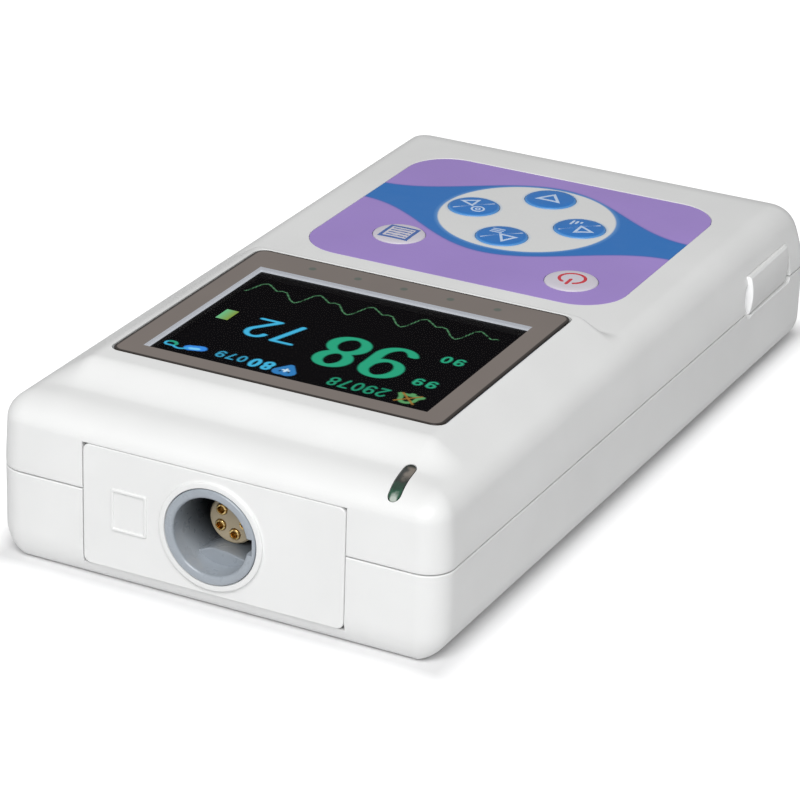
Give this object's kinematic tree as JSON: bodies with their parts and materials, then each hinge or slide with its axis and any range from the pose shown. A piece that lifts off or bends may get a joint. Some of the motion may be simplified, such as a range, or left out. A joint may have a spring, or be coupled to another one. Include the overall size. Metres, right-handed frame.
{
  "type": "handheld pulse oximeter",
  "caption": "Slim white handheld meter with a raised display end, a printed keypad, a round probe socket in one end and a battery door on the back.",
  "frame": {"origin": "under the middle of the whole object, on the surface that its back lies on", "axes": "+Z out of the screen, +Y toward the probe socket, +X to the right of a user who has the screen above the keys"},
  "size_m": [0.064, 0.1166, 0.0242],
  "materials": {
    "case_white": "satin moulded plastic",
    "window": "clear plate with a printed grey border",
    "display_black": "glossy display glass",
    "tray_white": "satin",
    "inner_black": "moulded",
    "flat_cable": "polyimide film",
    "label_film": "satin printed film",
    "key_white": "satin printed film over the key",
    "key_blue": "satin printed film over the key",
    "board_green": "solder mask",
    "pipe_smoke": "polished smoky plastic",
    "steel": "plated",
    "cover_rubber": "soft white rubber",
    "socket_grey": "semi-gloss",
    "core_beige": "moulded",
    "contact_gold": "gold plated",
    "battery_blue": "shrink film"
  },
  "bodies": {
    "case": {"front_shell": "case_white", "rear_shell": "case_white", "end_panel": "case_white", "display_window": "window", "lcd_panel": "display_black", "lcd_tray": "tray_white", "lcd_holder": "inner_black", "lcd_flex": "flat_cable", "keypad_overlay": "label_film", "switch_menu": "inner_black", "switch_power": "inner_black", "switch_up": "inner_black", "switch_down": "inner_black", "switch_left": "inner_black", "switch_right": "inner_black", "main_board": "board_green", "processor_chip": "inner_black", "analog_chip": "inner_black", "buzzer": "inner_black", "status_led": "tray_white", "light_pipe": "pipe_smoke", "usb_socket": "steel", "probe_socket": "socket_grey", "socket_insulator": "core_beige", "probe_contact_1": "contact_gold", "probe_contact_2": "contact_gold", "probe_contact_3": "contact_gold", "probe_contact_4": "contact_gold", "probe_contact_5": "contact_gold", "socket_nut": "steel", "probe_ribbon": "flat_cable", "probe_connector": "tray_white", "battery_pack": "battery_blue", "battery_connector": "inner_black", "battery_spring_1": "contact_gold", "battery_spring_2": "contact_gold", "battery_spring_3": "contact_gold", "case_screw_keypad_left": "steel", "case_screw_keypad_right": "steel", "case_screw_socket_left": "steel", "case_screw_socket_right": "steel"},
    "menu_key": {"key_menu": "key_white"},
    "power_key": {"key_power": "key_white"},
    "up_key": {"key_up": "key_blue"},
    "down_key": {"key_down": "key_blue"},
    "left_key": {"key_left": "key_blue"},
    "right_key": {"key_right": "key_blue"},
    "cover": {"port_cover": "cover_rubber"},
    "door": {"battery_door": "case_white"}
  },
  "joints": [
    {"name": "menu_press", "type": "slide", "parent": "case", "child": "menu_key", "axis": [0, 0, -1], "range_m": [0, 0.00035], "stiffness_N_per_m": 3000},
    {"name": "power_press", "type": "slide", "parent": "case", "child": "power_key", "axis": [0, 0, -1], "range_m": [0, 0.00035], "stiffness_N_per_m": 3000},
    {"name": "up_press", "type": "slide", "parent": "case", "child": "up_key", "axis": [0, 0, -1], "range_m": [0, 0.00035], "stiffness_N_per_m": 3000},
    {"name": "down_press", "type": "slide", "parent": "case", "child": "down_key", "axis": [0, 0, -1], "range_m": [0, 0.00035], "stiffness_N_per_m": 3000},
    {"name": "left_press", "type": "slide", "parent": "case", "child": "left_key", "axis": [0, 0, -1], "range_m": [0, 0.00035], "stiffness_N_per_m": 3000},
    {"name": "right_press", "type": "slide", "parent": "case", "child": "right_key", "axis": [0, 0, -1], "range_m": [0, 0.00035], "stiffness_N_per_m": 3000},
    {"name": "cover_hinge", "type": "hinge", "parent": "case", "child": "cover", "pos_m": [-0.03055, -0.04947, 0.0141], "axis": [0, 0, 1], "range_deg": [0, 90]},
    {"name": "door_slide", "type": "slide", "parent": "case", "child": "door", "axis": [0, -1, 0], "range_m": [0, 0.055]}
  ]
}
